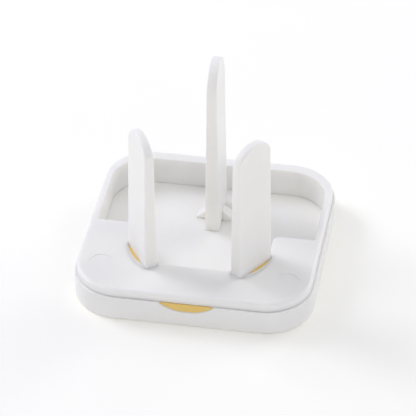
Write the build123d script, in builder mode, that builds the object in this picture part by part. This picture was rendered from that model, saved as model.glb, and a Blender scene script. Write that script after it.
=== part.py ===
from build123d import *
import os
from math import cos, radians, sin

os.makedirs("parts", exist_ok=True)

# Outlet safety cover: a white room-side cover with three blades, a yellow inner plate
# and a white frame that closes the cover on the side of the socket.
# Millimetres. X runs to the right, Y towards the earth blade and Z into the socket.
# The origin is the centre of the room-side face.

# Outside form
cover_width = 30.0
cover_depth = 30.0
cover_corner_radius = 6.0
cover_foot_radius = 0.4
cover_lip_radius = 0.06
total_height = 4.5
frame_step = 0.28
frame_top_radius = 0.42
frame_foot_radius = 0.05

# Walls and the parting line
floor_thickness = 0.6
cover_wall = 0.6
skirt_wall = 0.5
face_thickness = 1.2
parting_gap = 0.04
fit_clearance = 0.05

# Pocket behind the deck
back_rim_width = 1.67
pocket_corner_radius = 4.9
deck_back_y = -0.9
notch_width = 17.4
notch_front_y = -8.76
deck_corner_radius = 0.8
notch_corner_radius = 0.3
pocket_edge_radius = 0.15

# Blades, on the pitch of a type I socket
pin_centre_y = -3.35
live_offset_x = 6.8
live_offset_y = -3.82
live_slant = 32.0
live_width = 5.85
live_root_thickness = 1.9
live_tip_thickness = 1.1
live_tip_height = 22.7
live_arch_rise = 2.1
earth_offset_y = 10.4
earth_width = 6.35
earth_root_thickness = 1.75
earth_tip_thickness = 1.2
earth_tip_height = 24.8
earth_arch_rise = 3.5
blade_edge_radius = 0.25

# Gussets at the foot of the earth blade
gusset_reach = 1.6
gusset_height = 1.6
gusset_tip_height = 0.3
gusset_thickness = 1.5

# Holes round the live blades, oval outside and straight beside the notch
hole_length = 6.8
hole_width = 3.25
hole_clearance = 0.05
ring_width = 0.25

# Inner plate and the finger notch in front of it
plate_thickness = 1.0
collar_height = 0.8
collar_clearance = 0.05
slot_clearance = 0.05
ledge_width = 0.5
notch_span = 7.4
finger_notch_depth = 1.3
finger_notch_slope = 32.0
tab_setback = 0.1

# Pegs that hold the frame on the cover
peg_side_inset = 3.4
peg_front_inset = 5.5
peg_diameter = 1.8
peg_boss_wall = 0.8
peg_end_clearance = 0.3
sink_mark_diameter = 3.0
sink_mark_depth = 0.08

# Snap beads at the sides of the skirt
bead_length = 5.0
bead_height = 0.5
bead_depth = 0.2
bead_clearance = 0.05
bead_y = 4.0

# Heights and places that follow from the sizes above
parting_height = total_height - face_thickness
cover_height = parting_height - parting_gap
plate_seat = parting_height - plate_thickness
inner_width = cover_width - 2 * cover_wall
inner_depth = cover_depth - 2 * cover_wall
inner_radius = cover_corner_radius - cover_wall
pocket_half_width = inner_width / 2 - fit_clearance - skirt_wall
pad_margin = ring_width - skirt_wall - fit_clearance
pocket_back_y = cover_depth / 2 - frame_step - back_rim_width
live_y = pin_centre_y + live_offset_y
earth_y = pin_centre_y + earth_offset_y
bead_z = (floor_thickness + parting_height) / 2
live_places = [
    Location((side * live_offset_x, live_y, 0), (0, 0, -side * live_slant)) for side in (-1, 1)
]
peg_x = cover_width / 2 - peg_side_inset
peg_y = peg_front_inset - cover_depth / 2
peg_places = [Location((side * peg_x, peg_y, 0)) for side in (-1, 1)]


def make_blade(width, length, arch_rise, root_thickness, tip_thickness):
    """Blade that stands on Z = 0, with its width along Y and a rounded tip."""
    with BuildPart() as blade:
        with BuildSketch(Plane.XY):
            Rectangle(root_thickness, width)
        with BuildSketch(Plane.XY.offset(length)):
            Rectangle(tip_thickness, width)
        loft()
        with BuildSketch(Plane.YZ):
            Rectangle(width, length - arch_rise, align=(Align.CENTER, Align.MIN))
            with Locations((0, length - arch_rise)):
                Ellipse(width / 2, arch_rise)
        extrude(amount=root_thickness, both=True, mode=Mode.INTERSECT)
        broad_faces = blade.faces().filter_by(lambda face: abs(face.normal_at().X) > 0.9)
        rim = broad_faces.edges().filter_by(lambda edge: edge.center().Z > blade_edge_radius)
        fillet(rim, blade_edge_radius)
    return blade.part


def live_holes(grow):
    """Holes round the two live blades, with every edge moved out by grow."""
    straight_edge = live_root_thickness / 2 + hole_clearance + grow
    with BuildSketch() as hole:
        Ellipse(hole_width / 2 + grow, hole_length / 2 + grow)
        with Locations((-straight_edge, 0)):
            Rectangle(
                cover_width, cover_depth, align=(Align.MIN, Align.CENTER), mode=Mode.INTERSECT
            )
    with BuildSketch() as holes:
        with Locations(live_places[1]):
            add(hole.sketch)
        mirror(about=Plane.YZ)
    return holes.sketch


def live_slots():
    """Slots of the live blades in the plate, open on the side of the notch."""
    outer_edge = live_root_thickness / 2 + slot_clearance
    front_edge = live_width / 2 + slot_clearance
    with BuildSketch() as slots:
        with Locations(live_places[1] * Location((outer_edge, -front_edge, 0))):
            Rectangle(
                outer_edge + hole_width / 2,
                front_edge + hole_length / 2,
                align=(Align.MAX, Align.MIN),
            )
        mirror(about=Plane.YZ)
    return slots.sketch


def pocket_plan(grow):
    """Plan of the pocket and its notch, with every wall moved out by grow."""
    back = pocket_back_y + grow
    deck_edge = deck_back_y - grow
    notch_side_end = live_y + hole_length / 4
    with BuildSketch() as plan:
        with Locations((0, back)):
            RectangleRounded(
                2 * (pocket_half_width + grow),
                2 * (back - deck_edge),
                pocket_corner_radius + grow,
                align=(Align.CENTER, Align.MAX),
            )
        with Locations((0, deck_edge)):
            Rectangle(
                cover_width, cover_depth, align=(Align.CENTER, Align.MAX), mode=Mode.SUBTRACT
            )
        with Locations((0, notch_side_end)):
            Rectangle(notch_width + 2 * grow, -notch_side_end, align=(Align.CENTER, Align.MIN))
        with Locations((0, notch_front_y - grow)):
            Rectangle(
                2 * live_offset_x, grow - notch_front_y, align=(Align.CENTER, Align.MIN)
            )
        add(live_holes(ring_width - grow), mode=Mode.SUBTRACT)
    return plan.sketch


def finger_notch_cutter(clearance):
    """Oblique cylinder that scoops the front wall, smaller by the clearance."""
    chord = notch_span / 2
    radius = (chord**2 + finger_notch_depth**2) / (2 * finger_notch_depth)
    slope = radians(finger_notch_slope)
    with BuildPart() as cutter:
        with BuildSketch(Plane.XZ.offset(cover_depth / 2)):
            with Locations((0, parting_height - finger_notch_depth + radius)):
                Circle(radius - clearance)
        extrude(amount=cover_wall * 3, dir=(0, cos(slope), sin(slope)), both=True)
    return cutter.part


live_blade = make_blade(
    live_width,
    live_tip_height - floor_thickness,
    live_arch_rise,
    live_root_thickness,
    live_tip_thickness,
)
earth_blade = make_blade(
    earth_width,
    earth_tip_height - floor_thickness,
    earth_arch_rise,
    earth_root_thickness,
    earth_tip_thickness,
)

# Room-side cover: a shallow dish that carries the blades, the pegs' bosses and the ledge
with BuildPart() as outer_cover:
    with BuildSketch(Plane.XY):
        RectangleRounded(cover_width, cover_depth, cover_corner_radius)
    extrude(amount=cover_height)
    fillet(outer_cover.faces().sort_by(Axis.Z)[0].edges(), cover_foot_radius)
    fillet(outer_cover.faces().sort_by(Axis.Z)[-1].edges(), cover_lip_radius)
    with BuildSketch(Plane.XY.offset(floor_thickness)):
        RectangleRounded(inner_width, inner_depth, inner_radius)
    extrude(amount=cover_height, mode=Mode.SUBTRACT)

    # Ledge in the front half and oval pads under the live blades, which carry the plate
    with BuildSketch(Plane.XY.offset(floor_thickness)):
        RectangleRounded(inner_width, inner_depth, inner_radius)
        RectangleRounded(
            inner_width - 2 * ledge_width,
            inner_depth - 2 * ledge_width,
            inner_radius - ledge_width,
            mode=Mode.SUBTRACT,
        )
        with Locations((0, deck_back_y - skirt_wall - fit_clearance)):
            Rectangle(cover_width, cover_depth, align=(Align.CENTER, Align.MIN), mode=Mode.SUBTRACT)
        add(live_holes(pad_margin))
        with Locations(*peg_places):
            Circle(peg_diameter / 2 + peg_boss_wall)
    extrude(amount=plate_seat - floor_thickness)
    with BuildSketch(Plane.XY.offset(plate_seat)):
        with Locations(*peg_places):
            Circle(peg_diameter / 2 + fit_clearance)
    extrude(amount=floor_thickness - plate_seat, mode=Mode.SUBTRACT)

    # Finger notch in the front wall
    add(finger_notch_cutter(0), mode=Mode.SUBTRACT)

    # Grooves for the snap beads
    with Locations((0, bead_y, bead_z)):
        Box(
            inner_width + 2 * bead_depth,
            bead_length + 2 * bead_clearance,
            bead_height + 2 * bead_clearance,
            mode=Mode.SUBTRACT,
        )

    # Gussets at both sides of the earth blade
    with BuildSketch(Plane.XZ.offset(-earth_y)):
        with BuildLine(Location((0, floor_thickness))):
            root = earth_root_thickness / 2
            reach = root + gusset_reach
            Polyline(
                (0, gusset_height),
                (0, 0),
                (reach, 0),
                (reach, gusset_tip_height),
                (root, gusset_height),
                close=True,
            )
        make_face()
        mirror(about=Plane.YZ)
    extrude(amount=gusset_thickness / 2, both=True)

    # Blades
    with Locations(*[Location((0, 0, floor_thickness)) * place for place in live_places]):
        add(live_blade)
    with Locations((0, earth_y, floor_thickness)):
        add(earth_blade)
outer_cover.part.label = "outer_cover"
export_step(outer_cover.part, "parts/outer_cover.step")

# Yellow inner plate: it lies on the ledge and the pads, under the deck of the frame
with BuildPart() as inner_plate:
    with BuildSketch(Plane.XY.offset(plate_seat)):
        RectangleRounded(
            inner_width - 2 * fit_clearance,
            inner_depth - 2 * fit_clearance,
            inner_radius - fit_clearance,
        )
        with Locations((0, deck_back_y - skirt_wall - fit_clearance)):
            Rectangle(cover_width, cover_depth, align=(Align.CENTER, Align.MIN), mode=Mode.SUBTRACT)
        add(pocket_plan(skirt_wall + fit_clearance), mode=Mode.SUBTRACT)
        add(live_slots(), mode=Mode.SUBTRACT)
        with Locations(*peg_places):
            Circle(peg_diameter / 2 + slot_clearance, mode=Mode.SUBTRACT)
    extrude(amount=plate_thickness)

    # Collars that stand in the holes of the frame, at the outer side of the live blades
    with BuildSketch(Plane.XY.offset(parting_height)):
        add(live_holes(-collar_clearance))
        add(live_slots(), mode=Mode.SUBTRACT)
    extrude(amount=collar_height)

    # Finger tab that fills the notch in the front wall
    with BuildSketch(Plane.XY.offset(plate_seat)):
        with Locations((0, tab_setback - cover_depth / 2)):
            Rectangle(
                notch_span,
                cover_wall - tab_setback + ledge_width,
                align=(Align.CENTER, Align.MIN),
            )
    tab = extrude(amount=plate_thickness, mode=Mode.PRIVATE)
    add(tab & finger_notch_cutter(fit_clearance))
inner_plate.part.label = "inner_plate"
export_step(inner_plate.part, "parts/inner_plate.step")

# Frame on the side of the socket: deck, rim, skirt round the pocket and two pegs
with BuildPart() as socket_frame:
    with BuildSketch(Plane.XY.offset(parting_height)):
        RectangleRounded(
            cover_width - 2 * frame_step,
            cover_depth - 2 * frame_step,
            cover_corner_radius - frame_step,
        )
    extrude(amount=face_thickness)
    fillet(socket_frame.faces().sort_by(Axis.Z)[-1].edges(), frame_top_radius)
    fillet(socket_frame.faces().sort_by(Axis.Z)[0].edges(), frame_foot_radius)

    # Skirt down to the floor of the cover, then the pocket through it
    with BuildSketch(Plane.XY.offset(floor_thickness)):
        add(pocket_plan(skirt_wall))
    extrude(amount=parting_height - floor_thickness)
    with BuildSketch(Plane.XY.offset(total_height)):
        add(pocket_plan(0))
    extrude(amount=floor_thickness - total_height, mode=Mode.SUBTRACT)
    front_edges = socket_frame.edges().filter_by(Axis.Z).filter_by(
        lambda edge: edge.length > cover_height and edge.center().Y < deck_back_y + fit_clearance
    )
    deck_corners = front_edges.filter_by(
        lambda edge: edge.center().Y > deck_back_y - fit_clearance
        and abs(edge.center().X) < pocket_half_width - fit_clearance
    )
    fillet(front_edges - deck_corners, notch_corner_radius)
    fillet(deck_corners, deck_corner_radius)
    pocket_edges = socket_frame.faces().sort_by(Axis.Z)[-1].inner_wires().edges()
    fillet(pocket_edges, pocket_edge_radius)

    # Holes for the live blades
    with BuildSketch(Plane.XY.offset(total_height)):
        add(live_holes(0))
    extrude(amount=floor_thickness - total_height, mode=Mode.SUBTRACT)

    # Sink marks on the deck, with the pegs below them
    with BuildSketch(Plane.XY.offset(total_height)):
        with Locations(*peg_places):
            Circle(sink_mark_diameter / 2)
    extrude(amount=-sink_mark_depth, mode=Mode.SUBTRACT)
    with BuildSketch(Plane.XY.offset(parting_height)):
        with Locations(*peg_places):
            Circle(peg_diameter / 2)
    extrude(amount=floor_thickness + peg_end_clearance - parting_height)

    # Snap beads on the sides of the skirt
    with Locations(*[(side * (inner_width / 2 - fit_clearance), bead_y, bead_z) for side in (-1, 1)]):
        Box(2 * (bead_depth - fit_clearance), bead_length, bead_height)
socket_frame.part.label = "socket_frame"
export_step(socket_frame.part, "parts/socket_frame.step")
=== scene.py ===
# %% [markdown]
# Outlet safety cover, dressed in Blender.
# The cover plugs a wall socket: a white room-side dish with three plastic blades, a yellow plate
# inside and a white frame on the side of the socket. The solids arrive at their real size and
# place. The frame and the plate are used as they are. The cover's shell, and what shows round its
# blades, are grown again with Geometry Nodes, with softer rims and finer fits. Then come light and
# camera.

# %% Load the solids
from math import cos, pi, radians, sin, tan

import bmesh
import bpy
from mathutils import Matrix, Vector


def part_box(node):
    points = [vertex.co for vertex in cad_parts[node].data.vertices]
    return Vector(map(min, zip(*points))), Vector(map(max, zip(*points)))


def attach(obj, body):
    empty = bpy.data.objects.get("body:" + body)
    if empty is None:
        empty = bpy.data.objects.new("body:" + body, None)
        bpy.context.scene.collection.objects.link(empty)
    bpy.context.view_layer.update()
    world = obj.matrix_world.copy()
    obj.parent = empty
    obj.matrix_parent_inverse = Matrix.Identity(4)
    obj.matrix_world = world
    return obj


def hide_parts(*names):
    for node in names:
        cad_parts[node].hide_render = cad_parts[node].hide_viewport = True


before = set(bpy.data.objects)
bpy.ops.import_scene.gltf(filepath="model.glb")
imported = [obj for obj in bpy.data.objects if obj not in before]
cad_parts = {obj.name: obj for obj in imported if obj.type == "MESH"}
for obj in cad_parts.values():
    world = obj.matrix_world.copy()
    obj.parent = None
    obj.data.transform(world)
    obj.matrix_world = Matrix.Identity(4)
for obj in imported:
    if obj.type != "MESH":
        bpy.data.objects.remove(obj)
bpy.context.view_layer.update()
scene = bpy.context.scene
MM = 0.001
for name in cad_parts:
    low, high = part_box(name)
    print(name, "measures", [round((b - a) / MM, 2) for a, b in zip(low, high)], "mm")

# %% [markdown]
# Three small helpers serve every material. Hex colours are how a designer notes a plastic, but the
# shader computes in linear light, so one function converts them. Another adds a node with its
# settings and links, which keeps each recipe as short as a list of ingredients. The third starts an
# empty material, so that nothing of Blender's default shader is left in it.

# %% Colour and node helpers
def linear_colour(hex_code):
    """Linear RGBA of an sRGB colour written as #rrggbb, by the curve of the sRGB standard."""
    channels = [int(hex_code[i : i + 2], 16) / 255 for i in (1, 3, 5)]
    linear = [c / 12.92 if c <= 0.04045 else ((c + 0.055) / 1.055) ** 2.4 for c in channels]
    return linear + [1.0]


def add_node(tree, kind, settings=None, links=None):
    """Node of that kind, with values and links given by socket name or number."""
    node = tree.nodes.new(kind)
    for key, value in (settings or {}).items():
        if key in node.inputs.keys() or isinstance(key, int):
            node.inputs[key].default_value = value
        else:
            setattr(node, key, value)
    for key, source in (links or {}).items():
        tree.links.new(source, node.inputs[key])
    return node


def new_material(name):
    """Empty node material and its output node."""
    material = bpy.data.materials.new(name)
    material.use_nodes = True
    material.node_tree.nodes.clear()
    output = add_node(material.node_tree, "ShaderNodeOutputMaterial")
    return material, output


print("Half of full white is", round(linear_colour("#808080")[0], 3), "in linear light")

# %% [markdown]
# All three mouldings are ABS, injection moulded in a tool with a fine satin finish. ABS has an IOR
# near 1.53 and is matt enough to show no sharp reflection, so the eye sees soft, even faces. Light
# enters a thin wall a little way, so shaded walls glow faintly, more in white ABS than in yellow. A
# photograph of plastic could be wrapped round the pieces, but noise in the real sizes needs no
# picture and has no seams. The melt leaves patches of a few millimetres that differ by a trace in
# shade and gloss. The grain of such a tool is about 0.03 mm, far finer than a pixel. It is drawn
# three times as coarse, so that close views show it.

# %% Recipe of moulded ABS
ABS_IOR = 1.53
GRAIN = 0.09 * MM
GRAIN_DEPTH = 0.01 * MM
GRAIN_STRENGTH = 0.12
FLOW_PATCH = 6.0 * MM
PATCH_SHADE = 0.985
PATCH_ROUGHNESS = 0.04
GLOW_DEPTH = 0.8 * MM
GLOW_BY_COLOUR = (1.0, 0.95, 0.85)


def moulded_abs(name, hex_code, roughness, glow):
    """Satin moulded ABS: even colour, slight flow patches, fine grain from the tool."""
    material, output = new_material(name)
    tree = material.node_tree
    place = add_node(tree, "ShaderNodeTexCoord").outputs["Object"]
    patches = add_node(
        tree, "ShaderNodeTexNoise", {"Scale": 1 / FLOW_PATCH, "Detail": 2.0}, {"Vector": place}
    ).outputs["Fac"]
    grain = add_node(
        tree, "ShaderNodeTexNoise", {"Scale": 1 / GRAIN, "Detail": 3.0}, {"Vector": place}
    ).outputs["Fac"]
    base = linear_colour(hex_code)
    shaded = [c * PATCH_SHADE for c in base[:3]] + [1.0]
    # A Mix node keeps its two colours in inputs 6 and 7 and the mixed one in output 2.
    tint = add_node(
        tree, "ShaderNodeMix", {"data_type": "RGBA", 6: shaded, 7: base}, {0: patches}
    ).outputs[2]
    matt = add_node(
        tree, "ShaderNodeMapRange",
        {"To Min": roughness - PATCH_ROUGHNESS, "To Max": roughness + PATCH_ROUGHNESS},
        {"Value": patches},
    ).outputs["Result"]
    bump = add_node(
        tree, "ShaderNodeBump", {"Strength": GRAIN_STRENGTH, "Distance": GRAIN_DEPTH},
        {"Height": grain},
    ).outputs["Normal"]
    shader = add_node(
        tree, "ShaderNodeBsdfPrincipled",
        {
            "IOR": ABS_IOR, "Subsurface Weight": glow, "Subsurface Radius": GLOW_BY_COLOUR,
            "Subsurface Scale": GLOW_DEPTH,
        },
        {"Base Color": tint, "Roughness": matt, "Normal": bump},
    )
    tree.links.new(shader.outputs["BSDF"], output.inputs["Surface"])
    return material


print(f"Grain {GRAIN / MM:.2f} mm, flow patches {FLOW_PATCH / MM:.0f} mm")

# %% [markdown]
# The cover and the frame are moulded in a warm white, and the plate between them in yellow. Each
# could have a recipe of its own, but it is the same plastic with another pigment, so one recipe
# keeps them alike. The yellow pigment stops more light, so that plastic glows less.

# %% White and yellow plastic
white_abs = moulded_abs("white_moulded_abs", "#f8f6f0", roughness=0.42, glow=0.6)
yellow_abs = moulded_abs("yellow_moulded_abs", "#f2cd72", roughness=0.45, glow=0.25)
print("Materials:", white_abs.name, yellow_abs.name)

# %% [markdown]
# The frame and the plate are the mouldings whose solids already have the right shape, so they only
# need their plastic. Remodelling them would gain nothing. Another material in the slot of the
# object changes the look and leaves the mesh alone. The solid of the cover gets its plastic too,
# although the pieces made below stand for it.

# %% Give the solids their plastics
for name, material in (
    ("outer_cover", white_abs),
    ("socket_frame", white_abs),
    ("inner_plate", yellow_abs),
):
    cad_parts[name].material_slots[0].material = material
    print(name, "is made of", material.name)

# %% [markdown]
# The visible shell of the cover is made with Geometry Nodes, because each of its pieces follows a
# rule: the dish is one wall profile carried round a rounded square, and the three blades are one
# outline with other sizes. Mesh code could do the same, but a tree keeps its sizes as named inputs,
# so another size needs no new modelling. Two helpers start a tree and write its sums in short form.

# %% Helpers that start a tree
LENGTH, PLACE, MATERIAL = "NodeSocketFloat", "NodeSocketVector", "NodeSocketMaterial"
MATH, VECTOR_MATH = "ShaderNodeMath", "ShaderNodeVectorMath"
TO_VECTOR, FROM_VECTOR = "ShaderNodeCombineXYZ", "ShaderNodeSeparateXYZ"


def new_tree(name, inputs):
    """Geometry tree with named inputs: the tree, what it is given and its output node."""
    tree = bpy.data.node_groups.new(name, "GeometryNodeTree")
    for label, kind in inputs.items():
        tree.interface.new_socket(label, in_out="INPUT", socket_type=kind)
    tree.interface.new_socket("Geometry", in_out="OUTPUT", socket_type="NodeSocketGeometry")
    return tree, add_node(tree, "NodeGroupInput").outputs, add_node(tree, "NodeGroupOutput")


def result(tree, kind, *values, **settings):
    """First output of a node whose inputs are given in order: numbers, outputs or None."""
    links = {i: v for i, v in enumerate(values) if isinstance(v, bpy.types.NodeSocket)}
    numbers = {i: v for i, v in enumerate(values) if i not in links and v is not None}
    return add_node(tree, kind, {**settings, **numbers}, links).outputs[0]


print("A tree can be given:", LENGTH, PLACE, MATERIAL)

# %% [markdown]
# A moulding is a closed solid, and its edges are crisp while its curves are smooth. A flat face
# that is extruded leaves its start open, so a flipped copy of the start closes it. Every tree ends
# in the same way: real geometry, smooth shading except at sharp bends, and its plastic. Smoothing
# by angle is simpler than marking edges by hand, and it holds for any size.

# %% Helpers that close and finish a tree
WELD = 0.001 * MM
SHARP_BEND = radians(35)


def close_solid(tree, faces, start):
    """Weld an extruded face to its flipped start."""
    both = add_node(tree, "GeometryNodeJoinGeometry")
    for part in (faces, result(tree, "GeometryNodeFlipFaces", start)):
        tree.links.new(part, both.inputs[0])
    return result(tree, "GeometryNodeMergeByDistance", both.outputs[0], Distance=WELD)


def finish_tree(tree, geometry, given, output):
    """End of every tree: real geometry, smooth but for its sharp edges, in its material."""
    real = result(tree, "GeometryNodeRealizeInstances", geometry)
    smooth = add_node(tree, "GeometryNodeSetShadeSmooth", {"domain": "FACE"}, {"Geometry": real})
    bend = result(tree, "GeometryNodeInputMeshEdgeAngle")
    round_edge = result(tree, MATH, bend, SHARP_BEND, operation="LESS_THAN")
    shaded = add_node(
        tree, "GeometryNodeSetShadeSmooth", {"domain": "EDGE"},
        {"Geometry": smooth.outputs[0], "Shade Smooth": round_edge},
    )
    skin = add_node(
        tree, "GeometryNodeSetMaterial", {},
        {"Geometry": shaded.outputs[0], "Material": given["Material"]},
    )
    tree.links.new(skin.outputs[0], output.inputs[0])


print("Edges that bend by less than", round(SHARP_BEND / radians(1)), "degrees are shaded smooth")

# %% [markdown]
# A moulding's edges are never quite sharp: a tiny rounding catches the light and shows where a
# face ends. A Bevel modifier after the tree adds it, and hardened normals keep the flat faces flat
# beside it. The result is then copied to a plain mesh, because a piece that is handed on has no
# modifiers, and it is measured: a sound moulding has no open edges and a volume above zero.

# %% Helper that turns a tree into a piece
RIM_STEPS = 4
RIM_BEND = radians(40)


def grow_piece(name, tree, sizes, node, rim=0.0):
    """Mesh of the tree with these sizes, as a rigid piece. It stands for the CAD node, if given."""
    host = bpy.data.objects.new(name + "_tree", bpy.data.meshes.new(name + "_tree"))
    scene.collection.objects.link(host)
    modifier = host.modifiers.new("tree", "NODES")
    modifier.node_group = tree
    sockets = {item.name: item.identifier for item in tree.interface.items_tree}
    for label, value in sizes.items():
        modifier[sockets[label]] = value
    if rim:
        edge = host.modifiers.new("rim", "BEVEL")
        edge.width, edge.segments = rim, RIM_STEPS
        edge.limit_method, edge.angle_limit = "ANGLE", RIM_BEND
        edge.harden_normals = True
    graph = bpy.context.evaluated_depsgraph_get()
    mesh = bpy.data.meshes.new_from_object(host.evaluated_get(graph))
    bpy.data.objects.remove(host)
    mesh.name = name
    surface = bmesh.new()
    surface.from_mesh(mesh)
    open_edges = sum(not edge.is_manifold for edge in surface.edges)
    volume = surface.calc_volume(signed=True) / MM**3
    surface.free()
    piece = bpy.data.objects.new(name, mesh)
    scene.collection.objects.link(piece)
    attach(piece, "root")
    if node:
        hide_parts(node)
    print(f"{name}: {len(mesh.polygons)} faces, {open_edges} open edges, {volume:.0f} mm3")
    return piece


print("A rim is rounded in", RIM_STEPS, "steps")

# %% [markdown]
# The room-side cover is a shallow dish with a thin wall and a flat floor. Its wall has one profile
# all round, so a profile could be swept along a rounded square, but a sweep leaves the floor open.
# Here one flat face in the shape of the underside is extruded step by step instead, and ends as the
# floor of the dish. The face comes first: a rounded square, smaller by the rounding of the foot.

# %% Underside of the dish
dish, given, dish_out = new_tree(
    "dish_from_profile",
    {
        "Side": LENGTH, "Corner radius": LENGTH, "Wall": LENGTH, "Floor": LENGTH,
        "Height": LENGTH, "Foot radius": LENGTH, "Lip radius": LENGTH, "Notch radius": LENGTH,
        "Notch centre": LENGTH, "Notch slope": LENGTH, "Material": MATERIAL,
    },
)
CORNER_STEPS = 24

inset_side = result(
    dish, MATH, given["Foot radius"], -2.0, given["Side"], operation="MULTIPLY_ADD"
)
square = add_node(
    dish, "GeometryNodeCurvePrimitiveQuadrilateral", {},
    {"Width": inset_side, "Height": inset_side},
)
inset_radius = result(
    dish, MATH, given["Corner radius"], given["Foot radius"], operation="SUBTRACT"
)
rounded = add_node(
    dish, "GeometryNodeFilletCurve", {"mode": "POLY", "Count": CORNER_STEPS},
    {"Curve": square.outputs[0], "Radius": inset_radius},
)
underside = result(dish, "GeometryNodeFillCurve", rounded.outputs[0], mode="NGONS")
print("Underside:", len(dish.nodes), "nodes,", CORNER_STEPS, "steps in each corner")

# %% [markdown]
# Every point of the wall moves outwards and upwards along the same profile. Scaling the outline
# would do that for a circle, but in a rounded square it would also change the corners. So each
# point gets its own outward direction, which points away from the nearest corner centre.

# %% Outward direction
radius_back = result(dish, MATH, given["Corner radius"], -1.0, operation="MULTIPLY")
half = result(dish, MATH, given["Side"], 0.5, radius_back, operation="MULTIPLY_ADD")
far = result(dish, TO_VECTOR, half, half)
near = result(dish, VECTOR_MATH, far, (-1.0, -1.0, 0.0), operation="MULTIPLY")
place = result(dish, "GeometryNodeInputPosition")
flat = result(dish, VECTOR_MATH, place, (1.0, 1.0, 0.0), operation="MULTIPLY")
centre = result(dish, VECTOR_MATH, flat, near, operation="MAXIMUM")
centre = result(dish, VECTOR_MATH, centre, far, operation="MINIMUM")
outward = result(dish, VECTOR_MATH, flat, centre, operation="SUBTRACT")
outward = result(dish, VECTOR_MATH, outward, operation="NORMALIZE")
print("Outward direction:", len(dish.nodes), "nodes so far")

# %% [markdown]
# The profile of the wall could be drawn as a curve, but as steps of an extrusion the wall stays one
# closed skin. A helper makes one step, and another makes a quarter turn of steps, which is what a
# rounding is.

# %% Steps of a profile
ARC_STEPS = 6


def step(front, out, up):
    """Extrude the front face once and move it outwards and up."""
    wall = add_node(
        dish, "GeometryNodeExtrudeMesh",
        {"mode": "FACES", "Individual": False, "Offset Scale": 0.0}, front,
    )
    sideways = result(dish, VECTOR_MATH, outward, None, None, out, operation="SCALE")
    upwards = result(dish, TO_VECTOR, None, None, up)
    moved = add_node(
        dish, "GeometryNodeSetPosition", {},
        {
            "Geometry": wall.outputs["Mesh"], "Selection": wall.outputs["Top"],
            "Offset": result(dish, VECTOR_MATH, sideways, upwards, operation="ADD"),
        },
    )
    return {"Mesh": moved.outputs[0], "Selection": wall.outputs["Top"]}


def arc(front, radius, start):
    """Quarter turn of the profile that starts in that direction, in degrees from outwards."""
    for k in range(ARC_STEPS):
        one = radians(start + 90 * k / ARC_STEPS)
        two = radians(start + 90 * (k + 1) / ARC_STEPS)
        front = step(
            front,
            result(dish, MATH, radius, sin(two) - sin(one), operation="MULTIPLY"),
            result(dish, MATH, radius, cos(one) - cos(two), operation="MULTIPLY"),
        )
    return front


print("A rounding has", ARC_STEPS, "steps")

# %% [markdown]
# Seen in section, the wall of the cover is a rounded foot, a straight rise, a lip with two tiny
# roundings, and a straight drop to the floor inside. The same six moves in that order make it, and
# the last face that they leave is the floor. No other piece is needed for the inside.

# %% Profile of the dish
lip = given["Lip radius"]
rise = result(dish, MATH, given["Height"], given["Foot radius"], operation="SUBTRACT")
rise = result(dish, MATH, rise, lip, operation="SUBTRACT")
wall_back = result(dish, MATH, given["Wall"], -1.0, operation="MULTIPLY")
top_run = result(dish, MATH, lip, 2.0, wall_back, operation="MULTIPLY_ADD")
drop = result(dish, MATH, given["Floor"], given["Height"], operation="SUBTRACT")
drop = result(dish, MATH, drop, lip, operation="ADD")

front = arc({"Mesh": underside}, given["Foot radius"], 0)
front = step(front, 0.0, rise)
front = arc(front, lip, 90)
front = step(front, top_run, 0.0)
front = arc(front, lip, 180)
front = step(front, 0.0, drop)
shell = close_solid(dish, front["Mesh"], underside)
print("Profile:", len(dish.nodes), "nodes so far")

# %% [markdown]
# The finger notch in the front wall gives a fingertip something to pull at. It is the scoop of a
# round cutter that enters on a slope. Its edge could be modelled point by point, but a Boolean does
# what the toolmaker did: a cylinder lies along the depth of the cover, three walls long so that it
# comes out on both sides, is sheared upwards, and is taken from the wall.

# %% Finger notch
ROUND_SIDES = 128
LYING = (pi / 2, 0.0, 0.0)

cutter_depth = result(dish, MATH, given["Wall"], 3.0, operation="MULTIPLY")
cutter = add_node(
    dish, "GeometryNodeMeshCylinder", {"Vertices": ROUND_SIDES},
    {"Radius": given["Notch radius"], "Depth": cutter_depth},
)
lying = add_node(
    dish, "GeometryNodeTransform", {"Rotation": LYING},
    {
        "Geometry": cutter.outputs["Mesh"],
        "Translation": result(dish, TO_VECTOR, None, None, given["Notch centre"]),
    },
)
depth_place = add_node(dish, FROM_VECTOR, {}, {0: place}).outputs["Y"]
to_wall = result(dish, MATH, given["Side"], -0.5, operation="MULTIPLY")
shear = result(dish, MATH, depth_place, given["Notch slope"], operation="MULTIPLY")
sheared = add_node(
    dish, "GeometryNodeSetPosition", {},
    {"Geometry": lying.outputs[0], "Offset": result(dish, TO_VECTOR, None, to_wall, shear)},
)
scooped = add_node(
    dish, "GeometryNodeMeshBoolean", {"operation": "DIFFERENCE", "solver": "EXACT"},
    {"Mesh 1": shell, "Mesh 2": sheared.outputs[0]},
)
finish_tree(dish, scooped.outputs[0], given, dish_out)
print("Dish tree:", len(dish.nodes), "nodes")

# %% [markdown]
# The cover and the frame meet in a parting line round the side, which the eye sees as one faint
# dark line. The solids leave a gap of 0.04 mm there. Drawn at that width it looks too dark, so the
# wall of the dish goes a little past the foot of the frame, and what is left of the rounding of
# that foot draws the line. For the same reason the floor is a little thicker than in the solids,
# which hides the joint at the foot of the frame's skirt. The notch is given by its span and depth,
# which can be measured, and the radius of the cutter follows from these.

# %% The dish itself
PARTING_HEIGHT = 3.3 * MM
WALL_OVERLAP = 0.03 * MM
NOTCH_SPAN = 7.0 * MM
NOTCH_DEPTH = 1.15 * MM
NOTCH_SLOPE = radians(32)
notch_radius = ((NOTCH_SPAN / 2) ** 2 + NOTCH_DEPTH**2) / (2 * NOTCH_DEPTH)

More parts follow.
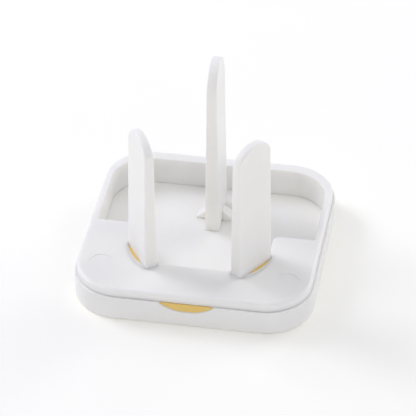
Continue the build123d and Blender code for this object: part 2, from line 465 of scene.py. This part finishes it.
grow_piece(
    "room_side_dish", dish,
    {
        "Side": 30.0 * MM, "Corner radius": 6.0 * MM, "Wall": 0.6 * MM, "Floor": 0.68 * MM,
        "Height": PARTING_HEIGHT + WALL_OVERLAP, "Foot radius": 0.4 * MM,
        "Lip radius": 0.02 * MM, "Notch radius": notch_radius,
        "Notch centre": PARTING_HEIGHT - NOTCH_DEPTH + notch_radius,
        "Notch slope": tan(NOTCH_SLOPE), "Material": white_abs,
    },
    "outer_cover",
)
print(f"Radius of the notch: {notch_radius / MM:.2f} mm")

# %% [markdown]
# The three blades copy the pins of the plug in white plastic: flat bars with a rounded tip. One
# tree makes all three. The tip could be cut from a bar with a Boolean, but a line of points placed
# by a formula gives an even arch: two points at the foot, the others on half an ellipse.

# %% Outline of a blade
blade, given, blade_out = new_tree(
    "tapered_blade",
    {
        "Width": LENGTH, "Height": LENGTH, "Arch rise": LENGTH, "Root thickness": LENGTH,
        "Tip thickness": LENGTH, "Place": PLACE, "Turn": PLACE, "Material": MATERIAL,
    },
)
OUTLINE_POINTS = 51

# The share runs from 0 to 1 along the arch. The two foot points lie just outside it.
index = result(blade, "GeometryNodeInputIndex")
share = result(blade, MATH, index, 1.0, operation="SUBTRACT")
share = result(blade, MATH, share, OUTLINE_POINTS - 3.0, operation="DIVIDE")
on_arch = result(blade, MATH, share, 0.5, 0.501, operation="COMPARE")
turn = result(blade, MATH, result(blade, "ShaderNodeClamp", share), pi, operation="MULTIPLY")
left_half = result(blade, MATH, given["Width"], -0.5, operation="MULTIPLY")
cosine = result(blade, MATH, turn, operation="COSINE")
across = result(blade, MATH, left_half, cosine, operation="MULTIPLY")
shoulder = result(blade, MATH, given["Height"], given["Arch rise"], operation="SUBTRACT")
sine = result(blade, MATH, turn, operation="SINE")
arch = result(blade, MATH, given["Arch rise"], sine, shoulder, operation="MULTIPLY_ADD")
arch = result(blade, MATH, arch, on_arch, operation="MULTIPLY")
outline = add_node(
    blade, "GeometryNodeSetPosition", {},
    {
        "Geometry": add_node(blade, "GeometryNodeMeshLine", {"Count": OUTLINE_POINTS}).outputs[0],
        "Position": result(blade, TO_VECTOR, across, arch),
    },
)
print("Outline:", OUTLINE_POINTS, "points,", len(blade.nodes), "nodes")

# %% [markdown]
# A blade is a flat bar, about three times as wide as it is thick. A Solidify modifier could give
# the outline its thickness, but it would come after the tree, and the taper needs it before. So
# the outline is closed to a loop, filled, stood up and extruded here.

# %% From outline to bar
UPRIGHT = (pi / 2, 0.0, pi / 2)

line = result(blade, "GeometryNodeMeshToCurve", outline.outputs[0])
loop = add_node(blade, "GeometryNodeSetSplineCyclic", {"Cyclic": True}, {0: line})
face = result(blade, "GeometryNodeFillCurve", loop.outputs[0], mode="NGONS")
upright = add_node(blade, "GeometryNodeTransform", {"Rotation": UPRIGHT}, {0: face}).outputs[0]
thick = add_node(
    blade, "GeometryNodeExtrudeMesh",
    {"mode": "FACES", "Individual": False, "Offset Scale": 1.0},
    {"Mesh": upright, "Offset": result(blade, TO_VECTOR, given["Root thickness"])},
)
solid = close_solid(blade, thick.outputs["Mesh"], upright)
print("Bar:", len(blade.nodes), "nodes so far")

# %% [markdown]
# A blade is a little thinner at its tip, so that it leaves the mould and finds the slot. Its points
# are drawn in towards the middle plane, the more the higher they lie. A Simple Deform modifier
# could taper it, but it would draw in the width too. The blade is then turned and put in place.

# %% Taper and place of a blade
spot = add_node(
    blade, FROM_VECTOR, {}, {0: result(blade, "GeometryNodeInputPosition")}
).outputs
left_at_tip = result(
    blade, MATH, given["Tip thickness"], given["Root thickness"], operation="DIVIDE"
)
lost_at_tip = result(blade, MATH, 1.0, left_at_tip, operation="SUBTRACT")
climb = result(blade, MATH, spot["Z"], given["Height"], operation="DIVIDE")
lost = result(blade, MATH, lost_at_tip, climb, operation="MULTIPLY")
kept = result(blade, MATH, 1.0, lost, operation="SUBTRACT")
centred = result(
    blade, MATH, given["Root thickness"], -0.5, spot["X"], operation="MULTIPLY_ADD"
)
drawn_in = result(blade, MATH, centred, kept, operation="MULTIPLY")
tapered = add_node(
    blade, "GeometryNodeSetPosition", {},
    {"Geometry": solid, "Position": result(blade, TO_VECTOR, drawn_in, spot["Y"], spot["Z"])},
)
placed = add_node(
    blade, "GeometryNodeTransform", {},
    {"Geometry": tapered.outputs[0], "Translation": given["Place"], "Rotation": given["Turn"]},
)
finish_tree(blade, placed.outputs[0], given, blade_out)
print("Blade tree:", len(blade.nodes), "nodes")

# %% [markdown]
# The two live blades are slanted like the slots of the socket, and the earth blade is longer and
# stands straight. On the real cover they are one moulding with the floor. Joining the meshes would
# cost a Boolean and leave no other picture, so each blade simply starts inside the floor.

# %% The three blades
FLOOR_THICKNESS = 0.6 * MM
ROOT_SINK = 0.4 * MM
BLADE_FOOT = FLOOR_THICKNESS - ROOT_SINK
LIVE_X, LIVE_Y = 6.8 * MM, -7.17 * MM
LIVE_SLANT = radians(32)
EARTH_Y = 7.05 * MM

# The width, heights, thicknesses and rim of each blade are in millimetres.
for name, x, y, slant, width, top, arch_rise, root, tip, rim in (
    ("live_blade_left", -LIVE_X, LIVE_Y, LIVE_SLANT, 5.85, 22.8, 2.1, 1.9, 1.1, 0.25),
    ("live_blade_right", LIVE_X, LIVE_Y, -LIVE_SLANT, 5.85, 22.8, 2.1, 1.9, 1.1, 0.25),
    ("earth_blade", 0.0, EARTH_Y, 0.0, 6.35, 24.8, 3.5, 1.85, 1.25, 0.16),
):
    grow_piece(
        name, blade,
        {
            "Width": width * MM, "Height": top * MM - BLADE_FOOT, "Arch rise": arch_rise * MM,
            "Root thickness": root * MM, "Tip thickness": tip * MM,
            "Place": (x, y, BLADE_FOOT), "Turn": (0.0, 0.0, slant), "Material": white_abs,
        },
        "outer_cover", rim=rim * MM,
    )

# %% [markdown]
# A small wedge at each side of the earth blade stiffens its root. Two wedges could be made and
# mirrored, but one bar with three rows of points does it at once: the middle row is hidden in the
# blade, and the outer rows come down to the tips.

# %% Tree of the gussets
gusset, given, gusset_out = new_tree(
    "gusset_pair",
    {
        "Reach": LENGTH, "Ridge height": LENGTH, "Tip height": LENGTH, "Thickness": LENGTH,
        "Place": PLACE, "Material": MATERIAL,
    },
)
length = result(gusset, MATH, given["Reach"], 2.0, operation="MULTIPLY")
bar = add_node(
    gusset, "GeometryNodeMeshCube", {"Vertices X": 3, "Vertices Y": 2, "Vertices Z": 2},
    {"Size": result(gusset, TO_VECTOR, length, given["Thickness"], given["Tip height"])},
)
spot = add_node(
    gusset, FROM_VECTOR, {}, {0: result(gusset, "GeometryNodeInputPosition")}
).outputs
aside = result(gusset, MATH, spot["X"], operation="ABSOLUTE")
span = result(gusset, MATH, aside, given["Reach"], operation="DIVIDE")
fall = result(gusset, MATH, given["Tip height"], given["Ridge height"], operation="SUBTRACT")
crest = result(gusset, MATH, fall, span, given["Ridge height"], operation="MULTIPLY_ADD")
upper = result(gusset, MATH, spot["Z"], 0.0, operation="GREATER_THAN")
crest = result(gusset, MATH, crest, upper, operation="MULTIPLY")
wedge = add_node(
    gusset, "GeometryNodeSetPosition", {},
    {
        "Geometry": bar.outputs[0],
        "Position": result(gusset, TO_VECTOR, spot["X"], spot["Y"], crest),
    },
)
standing = add_node(
    gusset, "GeometryNodeTransform", {},
    {"Geometry": wedge.outputs[0], "Translation": given["Place"]},
)
finish_tree(gusset, standing.outputs[0], given, gusset_out)
print("Gusset tree:", len(gusset.nodes), "nodes")

# %% [markdown]
# The wedges start inside the floor, as the blades do, and reach about a millimetre and a half past
# each face of the blade. Their rims are rounded less than those of the blades, because on so small
# a wedge the same rounding would leave no flat face.

# %% Gussets of the earth blade
grow_piece(
    "earth_gussets", gusset,
    {
        "Reach": 2.475 * MM, "Ridge height": 2.31 * MM + ROOT_SINK,
        "Tip height": 0.3 * MM + ROOT_SINK, "Thickness": 1.5 * MM,
        "Place": (0.0, EARTH_Y, BLADE_FOOT), "Material": white_abs,
    },
    "outer_cover", rim=0.06 * MM,
)

# %% [markdown]
# The yellow plate inside carries a low collar round each live blade, which shows as a yellow
# crescent beside the foot of the blade. The hole in the frame is an oval with one straight side, so
# the collar is a disc stretched to that oval, pressed flat on one side and extruded. A Boolean
# could cut the flat side, but pressing the points flat needs no second shape.

# %% Tree of a collar
collar, given, collar_out = new_tree(
    "flat_sided_collar",
    {
        "Half width": LENGTH, "Half length": LENGTH, "Flat side": LENGTH, "Height": LENGTH,
        "Place": PLACE, "Turn": PLACE, "Material": MATERIAL,
    },
)
COLLAR_SIDES = 96

ring = add_node(
    collar, "GeometryNodeCurvePrimitiveCircle", {"Resolution": COLLAR_SIDES, "Radius": 1.0}
)
disc = result(collar, "GeometryNodeFillCurve", ring.outputs[0], mode="NGONS")
spot = add_node(
    collar, FROM_VECTOR, {}, {0: result(collar, "GeometryNodeInputPosition")}
).outputs
flat_side = result(collar, MATH, given["Flat side"], -1.0, operation="MULTIPLY")
across = result(collar, MATH, spot["X"], given["Half width"], operation="MULTIPLY")
across = result(collar, MATH, across, flat_side, operation="MAXIMUM")
along = result(collar, MATH, spot["Y"], given["Half length"], operation="MULTIPLY")
oval = add_node(
    collar, "GeometryNodeSetPosition", {},
    {"Geometry": disc, "Position": result(collar, TO_VECTOR, across, along)},
).outputs[0]
block = add_node(
    collar, "GeometryNodeExtrudeMesh",
    {"mode": "FACES", "Individual": False, "Offset Scale": 1.0},
    {"Mesh": oval, "Offset": result(collar, TO_VECTOR, None, None, given["Height"])},
)
standing = add_node(
    collar, "GeometryNodeTransform", {},
    {
        "Geometry": close_solid(collar, block.outputs["Mesh"], oval),
        "Translation": given["Place"], "Rotation": given["Turn"],
    },
)
finish_tree(collar, standing.outputs[0], given, collar_out)
print("Collar tree:", len(collar.nodes), "nodes")

# %% [markdown]
# The blade rises out of its collar, so no dark gap is left at its foot. A ring with a slot would be
# nearer to the real moulding, but the blade hides that slot. The top of the collar lies a little
# below the deck, which makes the crescent thin. Its flat side faces the pocket between the blades,
# so the left one is turned by half a turn more.

# %% The two collars
COLLAR_TOP = 4.38 * MM
FLAT_SIDE = 0.98 * MM

for name, x, slant in (
    ("collar_left", -LIVE_X, LIVE_SLANT + pi),
    ("collar_right", LIVE_X, -LIVE_SLANT),
):
    grow_piece(
        name, collar,
        {
            "Half width": 1.60 * MM, "Half length": 3.375 * MM, "Flat side": FLAT_SIDE,
            "Height": COLLAR_TOP - PARTING_HEIGHT, "Place": (x, LIVE_Y, PARTING_HEIGHT),
            "Turn": (0.0, 0.0, slant), "Material": yellow_abs,
        },
        None, rim=0.08 * MM,
    )

# %% [markdown]
# The yellow shows only as a thin crescent beside the rear half of each live blade, so the edge of
# the deck comes closer to the blade than the oval of the solid does. A white lip inside each hole
# makes up that difference. Its two curved sides would be slow to place by formula, so it is cut
# from ovals with a Boolean. Each oval is a round bar of size 1 that is stretched to its sizes.

# %% Ovals of a deck lip
deck_lip, given, deck_lip_out = new_tree(
    "deck_lip",
    {
        "Half width": LENGTH, "Half length": LENGTH, "Opening half width": LENGTH,
        "Opening half length": LENGTH, "Opening shift": LENGTH, "Flat side": LENGTH,
        "Height": LENGTH, "Place": PLACE, "Turn": PLACE, "Material": MATERIAL,
    },
)


def oval_bar(half_width, half_length, height, shift):
    """Upright oval cylinder of that height, moved along the length of the oval."""
    unit = add_node(
        deck_lip, "GeometryNodeMeshCylinder",
        {"Vertices": ROUND_SIDES, "Radius": 1.0, "Depth": 1.0},
    )
    return add_node(
        deck_lip, "GeometryNodeTransform", {},
        {
            "Geometry": unit.outputs["Mesh"],
            "Scale": result(deck_lip, TO_VECTOR, half_width, half_length, height),
            "Translation": result(deck_lip, TO_VECTOR, None, shift),
        },
    ).outputs[0]


print("Ovals have", ROUND_SIDES, "sides")

# %% [markdown]
# The lip is the oval of the hole, less a smaller oval that sits further back, and less all that
# would stand out over the pocket. A block as wide as needed takes that last part away. What cuts is
# three times as deep as the lip, so that no thin skin is left at its top or bottom.

# %% Tree of a deck lip
deep = result(deck_lip, MATH, given["Height"], 3.0, operation="MULTIPLY")
wide = result(deck_lip, MATH, given["Half length"], 4.0, operation="MULTIPLY")
flat_side = result(deck_lip, MATH, given["Flat side"], -1.0, operation="MULTIPLY")
beyond = result(deck_lip, MATH, wide, -0.5, flat_side, operation="MULTIPLY_ADD")
pocket_side = add_node(
    deck_lip, "GeometryNodeMeshCube", {}, {"Size": result(deck_lip, TO_VECTOR, wide, wide, deep)}
)
pocket_side = add_node(
    deck_lip, "GeometryNodeTransform", {},
    {
        "Geometry": pocket_side.outputs[0],
        "Translation": result(deck_lip, TO_VECTOR, beyond),
    },
)
cut = add_node(
    deck_lip, "GeometryNodeMeshBoolean", {"operation": "DIFFERENCE", "solver": "EXACT"},
    {
        "Mesh 1": oval_bar(given["Half width"], given["Half length"], given["Height"], 0.0),
        "Mesh 2": oval_bar(
            given["Opening half width"], given["Opening half length"], deep,
            given["Opening shift"],
        ),
    },
)
deck_lip.links.new(pocket_side.outputs[0], cut.inputs["Mesh 2"])
standing = add_node(
    deck_lip, "GeometryNodeTransform", {},
    {"Geometry": cut.outputs[0], "Translation": given["Place"], "Rotation": given["Turn"]},
)
finish_tree(deck_lip, standing.outputs[0], given, deck_lip_out)
print("Deck lip tree:", len(deck_lip.nodes), "nodes")

# %% [markdown]
# On the real frame the lip is part of the deck. Changing the solid's mesh isn't allowed here, so
# each lip is a piece of its own that runs a hair into the deck. Its top lies a few thousandths of a
# millimetre below the deck, so the two faces don't flicker through each other.

# %% The two deck lips
DECK_TOP = 4.497 * MM
LIP_HEIGHT = 0.5 * MM
OPENING_SHIFT = 0.5 * MM

for name, x, slant, rearwards in (
    ("deck_lip_left", -LIVE_X, LIVE_SLANT + pi, -1),
    ("deck_lip_right", LIVE_X, -LIVE_SLANT, 1),
):
    grow_piece(
        name, deck_lip,
        {
            "Half width": 1.645 * MM, "Half length": 3.42 * MM, "Opening half width": 1.3 * MM,
            "Opening half length": 3.02 * MM, "Opening shift": rearwards * OPENING_SHIFT,
            "Flat side": FLAT_SIDE, "Height": LIP_HEIGHT,
            "Place": (x, LIVE_Y, DECK_TOP - LIP_HEIGHT / 2), "Turn": (0.0, 0.0, slant),
            "Material": white_abs,
        },
        None,
    )

# %% [markdown]
# The cover lies on a plain white ground that goes over into a white background. It could be a
# curved studio backdrop, but the camera looks down and sees only the ground, so one large sheet of
# matt white paper stands for it. The sheet shines a little, as on a light table, because the ground
# in the photograph is almost pure white.

# %% Floor
FLOOR_SIZE = 4.0
PAPER_GLOW = 0.09

bpy.ops.mesh.primitive_plane_add(size=FLOOR_SIZE)
floor = bpy.context.object
floor.name = "studio_floor"
paper, output = new_material("white_paper")
shader = add_node(
    paper.node_tree, "ShaderNodeBsdfPrincipled",
    {
        "Base Color": linear_colour("#fefdf5"), "Roughness": 0.9, "Specular IOR Level": 0.1,
        "Emission Color": linear_colour("#ffffff"), "Emission Strength": PAPER_GLOW,
    },
)
paper.node_tree.links.new(shader.outputs["BSDF"], output.inputs["Surface"])
floor.data.materials.append(paper)
print("Floor:", FLOOR_SIZE, "m of", paper.name)

# %% [markdown]
# The photograph is a product shot with almost no hard shadow. It was probably taken in a bright
# white room or light tent, so a pale even surrounding does most of the lighting here. Many weak
# lamps could do that too, but one world colour is even from every side and costs nothing. It is a
# little blue, because the shaded faces in the photograph are.

# %% Pale surrounding
SKY_COLOUR = (0.82, 0.81, 1.0, 1.0)
SKY_STRENGTH = 0.515

world = bpy.data.worlds.new("studio")
scene.world = world
world.use_nodes = True
sky = world.node_tree.nodes["Background"].inputs
sky["Color"].default_value = SKY_COLOUR
sky["Strength"].default_value = SKY_STRENGTH
print("Surrounding:", SKY_COLOUR[:3], "at strength", SKY_STRENGTH)

# %% [markdown]
# A lamp at the left gives the photograph its direction. An image of a studio could light the scene
# as well, but lamps can be set one by one, so large soft area lights stand round the object. Their
# strengths were fitted that way: the object was rendered under each of them alone, and the mixture
# that came nearest to the brightness of named places on the photographed faces was kept.

# %% Softboxes
SOFTBOX_DISTANCE = 0.6  # metres, as are the sizes of the softboxes


def direction(azimuth, elevation):
    """Unit vector towards a lamp or the camera. Azimuth 0 stands at -Y, 90 degrees at +X."""
    around, up = radians(azimuth), radians(elevation)
    return Vector((sin(around) * cos(up), -cos(around) * cos(up), sin(up)))


for name, azimuth, elevation, size, watts, colour in (
    ("key_softbox", -112, 38, 0.22, 1.12, (0.85, 0.89, 1.0)),
    ("large_key_softbox", -112, 42, 0.5, 0.41, (1.0, 0.92, 0.93)),
    ("left_fill", -80, 60, 0.4, 0.22, (0.96, 1.0, 0.94)),
    ("front_fill", 40, 30, 0.4, 0.30, (0.87, 0.86, 1.0)),
    ("high_front_fill", 10, 50, 0.5, 0.42, (0.95, 1.0, 0.62)),
    ("back_fill", 138, 25, 0.4, 1.08, (0.96, 1.0, 0.93)),
):
    light = bpy.data.lights.new(name, "AREA")
    light.shape, light.size = "SQUARE", size
    light.energy, light.color = watts, colour
    lamp = bpy.data.objects.new(name, light)
    scene.collection.objects.link(lamp)
    towards = direction(azimuth, elevation)
    lamp.location = towards * SOFTBOX_DISTANCE
    lamp.rotation_mode = "QUATERNION"
    lamp.rotation_quaternion = (-towards).to_track_quat("-Z", "Y")
    print(name, "gives", watts, "W from a square of", size, "m")

# %% [markdown]
# The camera of the photograph stands above and slightly to the right of the front of the cover, and
# looks from far away, so its perspective is weak. It could be placed by eye, but the places of the
# corners of the blades, the rim and the pocket are known from the solids. Its direction, distance
# and focal length were found by matching these corners to their places in the picture.

# %% Camera
CAMERA_AZIMUTH = 9.98
CAMERA_ELEVATION = 36.80
CAMERA_ROLL = radians(-0.312)
CAMERA_DISTANCE = 378.2 * MM
CAMERA_TARGET = Vector((-1.492, 9.462, 0.0)) * MM
FOCAL_PIXELS = 2922.9
IMAGE_SIZE = 416

back = direction(CAMERA_AZIMUTH, CAMERA_ELEVATION)
around = radians(CAMERA_AZIMUTH)
level = Vector((cos(around), sin(around), 0.0))
rise = back.cross(level)
right = cos(CAMERA_ROLL) * level + sin(CAMERA_ROLL) * rise
up = cos(CAMERA_ROLL) * rise - sin(CAMERA_ROLL) * level
camera = bpy.data.objects.new("camera", bpy.data.cameras.new("camera"))
scene.collection.objects.link(camera)
turn = Matrix((right, up, back)).transposed()
camera.matrix_world = Matrix.Translation(CAMERA_TARGET + back * CAMERA_DISTANCE) @ turn.to_4x4()
camera.data.sensor_width = 36.0
camera.data.lens = FOCAL_PIXELS / IMAGE_SIZE * camera.data.sensor_width
camera.data.clip_start, camera.data.clip_end = 0.01, 20.0
scene.camera = camera
scene.view_settings.view_transform = "Standard"
print(f"Camera: {camera.data.lens:.0f} mm lens, {CAMERA_DISTANCE / MM:.0f} mm away")
